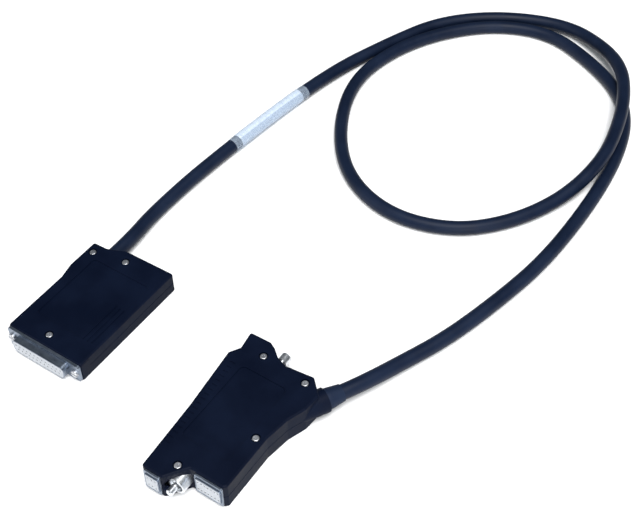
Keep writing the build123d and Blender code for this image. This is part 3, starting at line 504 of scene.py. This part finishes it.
def label_material(settings):
    """Printed film: the film colour over the top, painted shade in a greyer colour down both sides and
    underneath, and a fine print grain.
    """
    material, nodes, links, bsdf = new_material("label_film")
    wrap = nodes.new("ShaderNodeUVMap")
    wrap.uv_map = "Wrap"
    parts = nodes.new("ShaderNodeSeparateXYZ")
    links.new(wrap.outputs["UV"], parts.inputs["Vector"])
    centred = math_node(nodes, links, "SUBTRACT", parts.outputs["X"], 0.5)
    turn = math_node(nodes, links, "ABSOLUTE", centred, 0.0)
    # Painted shade: away from the top, down both sides and underneath, the label takes the darker side
    # colour, mottled by the print grain.
    side_shade_mask = remap(nodes, links, turn, 0.43, 0.40, 0.0, 1.0)
    place = nodes.new("ShaderNodeTexCoord").outputs["Object"]
    ink = noise(nodes, links, place, 900.0, 4.0, 0.6)
    mottled_side_shade = math_node(nodes, links, "MULTIPLY", side_shade_mask, remap(nodes, links, ink, 0.3, 0.7, 0.55, 1.0))
    colour = blend_colours(nodes, links, mottled_side_shade, tuple(settings.film), tuple(settings.field))
    links.new(colour, bsdf.inputs["Base Color"])
    links.new(remap(nodes, links, ink, 0.3, 0.7, 0.35, 0.5), bsdf.inputs["Roughness"])
    add_bump(nodes, links, ink, bsdf, 0.00002, 0.4)
    return material


def clear_material(settings):
    """Clear, slightly hazy sleeve film."""
    material, nodes, links, bsdf = new_material("clear_sleeve")
    place = nodes.new("ShaderNodeTexCoord").outputs["Object"]
    haze = noise(nodes, links, place, 320.0, 4.0, 0.6)
    bsdf.inputs["Base Color"].default_value = tuple(settings.clear)
    links.new(remap(nodes, links, haze, 0.3, 0.7, 0.10, 0.22), bsdf.inputs["Alpha"])
    links.new(remap(nodes, links, haze, 0.3, 0.7, 0.12, 0.3), bsdf.inputs["Roughness"])
    bsdf.inputs["Specular IOR Level"].default_value = 0.6
    add_bump(nodes, links, haze, bsdf, 0.00003, 0.4)
    return material


# ---- one operator for each piece or group ----
class BuildSharedEffects(bpy.types.Operator):
    """Build the grain, handling and metal effects that the finishes share"""

    bl_idname = "control_cable.shared_effects"
    bl_label = "Shared effects"

    def execute(self, context):
        build_moulded_grain()
        build_handling_marks()
        build_drawn_metal()
        return {"FINISHED"}


class PlaceStage(bpy.types.Operator):
    """Lay the pale floor, hang the soft panels and place the camera"""

    bl_idname = "control_cable.stage"
    bl_label = "Stage and camera"

    def execute(self, context):
        settings = context.scene.cable_stage
        scene = context.scene
        scene.view_settings.view_transform = "Standard"
        mesh = bpy.data.meshes.new("floor")
        corners = [(x * FLOOR_HALF, y * FLOOR_HALF, 0) for x, y in ((-1, -1), (1, -1), (1, 1), (-1, 1))]
        mesh.from_pydata(corners, [], [(0, 1, 2, 3)])
        floor = bpy.data.objects.new("floor", mesh)
        scene.collection.objects.link(floor)
        material, _, _, bsdf = new_material("studio_floor")
        bsdf.inputs["Base Color"].default_value = tuple(settings.floor)
        bsdf.inputs["Roughness"].default_value = 0.9
        bsdf.inputs["Specular IOR Level"].default_value = 0.1
        mesh.materials.append(material)
        world = bpy.data.worlds.new("studio_air")
        world.use_nodes = True
        nodes, links = world.node_tree.nodes, world.node_tree.links
        air = nodes["Background"]
        seen = nodes.new("ShaderNodeLightPath")
        strength = remap(nodes, links, seen.outputs["Is Camera Ray"], 0.0, 1.0, 0.16, 1.05)
        links.new(strength, air.inputs["Strength"])
        air.inputs["Color"].default_value = (0.84, 0.92, 1.0, 1.0)
        scene.world = world
        panels = [
            ("overhead_panel", (0.45, -0.25, 1.9), (0.0, 0.2, 0.0), 1.3, settings.key_power),
            ("right_panel", (1.3, -0.9, 0.45), (0.0, 0.10, 0.0), 0.9, 20.0),
            ("left_panel", (-1.2, -0.9, 0.7), (0.0, 0.15, 0.0), 0.9, 9.0),
        ]
        for name, place, aim, width, power in panels:
            light = bpy.data.lights.new(name, "AREA")
            light.shape = "SQUARE"
            light.size = width
            light.energy = power
            panel = bpy.data.objects.new(name, light)
            panel.location = place
            panel.rotation_euler = (Vector(aim) - Vector(place)).to_track_quat("-Z", "Y").to_euler()
            scene.collection.objects.link(panel)
        camera = bpy.data.cameras.new("studio_camera")
        camera.lens = settings.lens
        camera.sensor_width = 36.0
        viewer = bpy.data.objects.new("studio_camera", camera)
        viewer.location = CAMERA_PLACE
        viewer.rotation_euler = CAMERA_TURN
        scene.collection.objects.link(viewer)
        scene.camera = viewer
        return {"FINISHED"}


class MakeFreeCable(bpy.types.Operator):
    """Lay the free cable along its route, and finish its ends and its boot"""

    bl_idname = "control_cable.free_cable"
    bl_label = "Free cable"

    def execute(self, context):
        settings = context.scene.cable_sizes
        sheath = polymer(
            "sheath_polymer", tuple(settings.sheath), tuple(settings.sheath_tone),
            grain_scale=1500.0, smooth=0.40, rough=0.54, relief=0.00003, specular=0.13, marks=0.2,
        )
        cable = bpy.data.objects.new("free_cable", spline_curve("free_cable", settings.diameter / 2))
        cable.data.materials.append(sheath)
        context.scene.collection.objects.link(cable)
        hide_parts("cable_sheath")
        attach(cable, "root")
        dress(("short_sheath_end", "long_sheath_end"), sheath)
        boot = polymer(
            "boot_rubber", tuple(settings.boot), tuple(settings.sheath_tone),
            grain_scale=1800.0, smooth=0.5, rough=0.65, relief=0.00004, specular=0.13, marks=0.3,
        )
        dress(("cable_boot",), boot)
        return {"FINISHED"}


class MakeMarker(bpy.types.Operator):
    bl_idname = "control_cable.marker"
    bl_label = "Label and clear sleeve"

    def execute(self, context):
        settings = context.scene.cable_marker
        radius = context.scene.cable_sizes.diameter / 2
        low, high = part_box("cable_label")
        middle = (Vector(low) + Vector(high)) / 2
        line = centreline()
        label = wrapped_tube(
            "wrapped_label", stretch_of(line, middle, settings.label_length, 60),
            lambda share: radius + LABEL_OUTER, radius + LABEL_INNER,
        )
        label.data.materials.append(label_material(settings))

        def sleeve_profile(share):
            end = min(share, 1.0 - share) * settings.sleeve_length
            return radius + SLEEVE_OUTER - SLEEVE_DRAW * max(0.0, 1.0 - end / SLEEVE_END) ** 2

        sleeve = wrapped_tube(
            "clear_sleeve", stretch_of(line, middle, settings.sleeve_length, 80),
            sleeve_profile, radius + SLEEVE_INNER,
        )
        sleeve.data.materials.append(clear_material(settings))
        for piece, node, slot in (
            (label, "cable_label", "label_film"), (sleeve, "label_sleeve", "sleeve_polymer"),
        ):
            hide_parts(node)
            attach(piece, "root")
        return {"FINISHED"}


class FinishHoods(bpy.types.Operator):
    """Give the moulded hoods of both plugs their finish"""

    bl_idname = "control_cable.hoods"
    bl_label = "Moulded hoods"

    def execute(self, context):
        settings = context.scene.cable_plugs
        hood = polymer(
            "hood_polymer", tuple(settings.hood), tuple(settings.hood_tone),
            grain_scale=2200.0, smooth=0.46, rough=0.60, relief=0.00005, specular=0.06, marks=0.25,
        )
        dress(HOOD_NODES, hood)
        return {"FINISHED"}


class FinishConnectors(bpy.types.Operator):
    """Finish the plated shells, the insulators and the contacts"""

    bl_idname = "control_cable.connectors"
    bl_label = "Shells, insulators and contacts"

    def execute(self, context):
        settings = context.scene.cable_plugs
        plating = metal(
            "nickel_plate", tuple(settings.plating), (0.12, 0.145, 0.19, 1), smooth=0.26, rough=0.44
        )
        dress(PLATED_NODES, plating)
        insulator = polymer(
            "insulator_polymer", tuple(settings.insulator), (0.42, 0.44, 0.47, 1),
            grain_scale=2600.0, smooth=0.4, rough=0.55, relief=0.00002, specular=0.4, marks=0.1,
        )
        dress(INSULATOR_NODES, insulator)
        gilt = metal("contact_gilt", (0.83, 0.62, 0.27, 1), (0.72, 0.50, 0.20, 1), smooth=0.18, rough=0.3)
        dress(CONTACT_NODES, gilt)
        return {"FINISHED"}


class FinishFasteners(bpy.types.Operator):
    """Finish the screws and the threaded inserts"""

    bl_idname = "control_cable.fasteners"
    bl_label = "Screws and inserts"

    def execute(self, context):
        settings = context.scene.cable_plugs
        steel = metal("screw_steel", tuple(settings.steel), (0.36, 0.37, 0.40, 1), smooth=0.30, rough=0.46)
        dress(SCREW_NODES, steel)
        brass = metal("insert_brass", (0.70, 0.50, 0.20, 1), (0.55, 0.38, 0.16, 1), smooth=0.3, rough=0.45)
        dress(INSERT_NODES, brass)
        return {"FINISHED"}


class FinishJackscrew(bpy.types.Operator):
    """Finish the captive jackscrew, its guide and its retaining ring"""

    bl_idname = "control_cable.jackscrew"
    bl_label = "Jackscrew"

    def execute(self, context):
        turned = metal("guide_metal", (0.74, 0.76, 0.78, 1), (0.54, 0.56, 0.60, 1), smooth=0.24, rough=0.40)
        dress(JACK_NODES, turned)
        return {"FINISHED"}


class FinishCores(bpy.types.Operator):
    """Colour the insulated cores inside the plugs, each core its own colour"""

    bl_idname = "control_cable.cores"
    bl_label = "Insulated cores"

    def execute(self, context):
        material, nodes, links, bsdf = new_material("core_polymer")
        which = nodes.new("ShaderNodeNewGeometry").outputs["Random Per Island"]
        ramp = nodes.new("ShaderNodeValToRGB")
        ramp.color_ramp.interpolation = "CONSTANT"
        colours = [
            (0.62, 0.62, 0.60), (0.35, 0.16, 0.05), (0.05, 0.30, 0.08), (0.70, 0.52, 0.04),
            (0.22, 0.23, 0.25), (0.72, 0.25, 0.30), (0.04, 0.10, 0.42), (0.50, 0.03, 0.03),
            (0.02, 0.02, 0.02), (0.28, 0.06, 0.34),
        ]
        stops = ramp.color_ramp.elements
        for index, colour in enumerate(colours):
            stop = stops[index] if index < 2 else stops.new(index / len(colours))
            stop.position = index / len(colours)
            stop.color = (*colour, 1.0)
        links.new(which, ramp.inputs["Fac"])
        place = nodes.new("ShaderNodeTexCoord").outputs["Object"]
        skin = noise(nodes, links, place, 1800.0, 3.0)
        dimmer = remap(nodes, links, skin, 0.3, 0.7, 0.0, 0.15)
        shade = blend_colours(nodes, links, dimmer, ramp.outputs["Color"], (0.1, 0.1, 0.1, 1))
        links.new(shade, bsdf.inputs["Base Color"])
        links.new(remap(nodes, links, skin, 0.3, 0.7, 0.35, 0.5), bsdf.inputs["Roughness"])
        add_bump(nodes, links, skin, bsdf, 0.00001, 0.4)
        dress(CORE_NODES, material)
        return {"FINISHED"}


OPERATORS = (
    BuildSharedEffects, PlaceStage, MakeFreeCable, MakeMarker, FinishHoods, FinishConnectors,
    FinishFasteners, FinishJackscrew, FinishCores,
)
SETTINGS = (
    (CableSettings, "cable_sizes"), (MarkerSettings, "cable_marker"),
    (PlugSettings, "cable_plugs"), (StageSettings, "cable_stage"),
)


class CablePanel(bpy.types.Panel):
    """The cable's settings and its building steps"""

    bl_idname = "VIEW3D_PT_control_cable"
    bl_label = "Control Cable"
    bl_space_type = "VIEW_3D"
    bl_region_type = "UI"
    bl_category = "Control Cable"

    def draw(self, context):
        for group, attribute in SETTINGS:
            column = self.layout.column(align=True)
            for title in group.__annotations__:
                column.prop(getattr(context.scene, attribute), title)
        for operator in OPERATORS:
            self.layout.operator(operator.bl_idname)


def register():
    """Registers the settings, the operators and the panel."""
    for group, attribute in SETTINGS:
        bpy.utils.register_class(group)
        setattr(bpy.types.Scene, attribute, bpy.props.PointerProperty(type=group))
    for operator in OPERATORS:
        bpy.utils.register_class(operator)
    bpy.utils.register_class(CablePanel)


def unregister():
    """Removes what register added, in the opposite order."""
    bpy.utils.unregister_class(CablePanel)
    for operator in reversed(OPERATORS):
        bpy.utils.unregister_class(operator)
    for group, attribute in reversed(SETTINGS):
        delattr(bpy.types.Scene, attribute)
        bpy.utils.unregister_class(group)


def main():
    """Builds everything in order."""
    register()
    bpy.ops.control_cable.shared_effects()
    bpy.ops.control_cable.stage()
    bpy.ops.control_cable.free_cable()
    bpy.ops.control_cable.marker()
    bpy.ops.control_cable.hoods()
    bpy.ops.control_cable.connectors()
    bpy.ops.control_cable.fasteners()
    bpy.ops.control_cable.jackscrew()
    bpy.ops.control_cable.cores()
    bpy.context.view_layer.update()


if __name__ == "__main__":
    main()
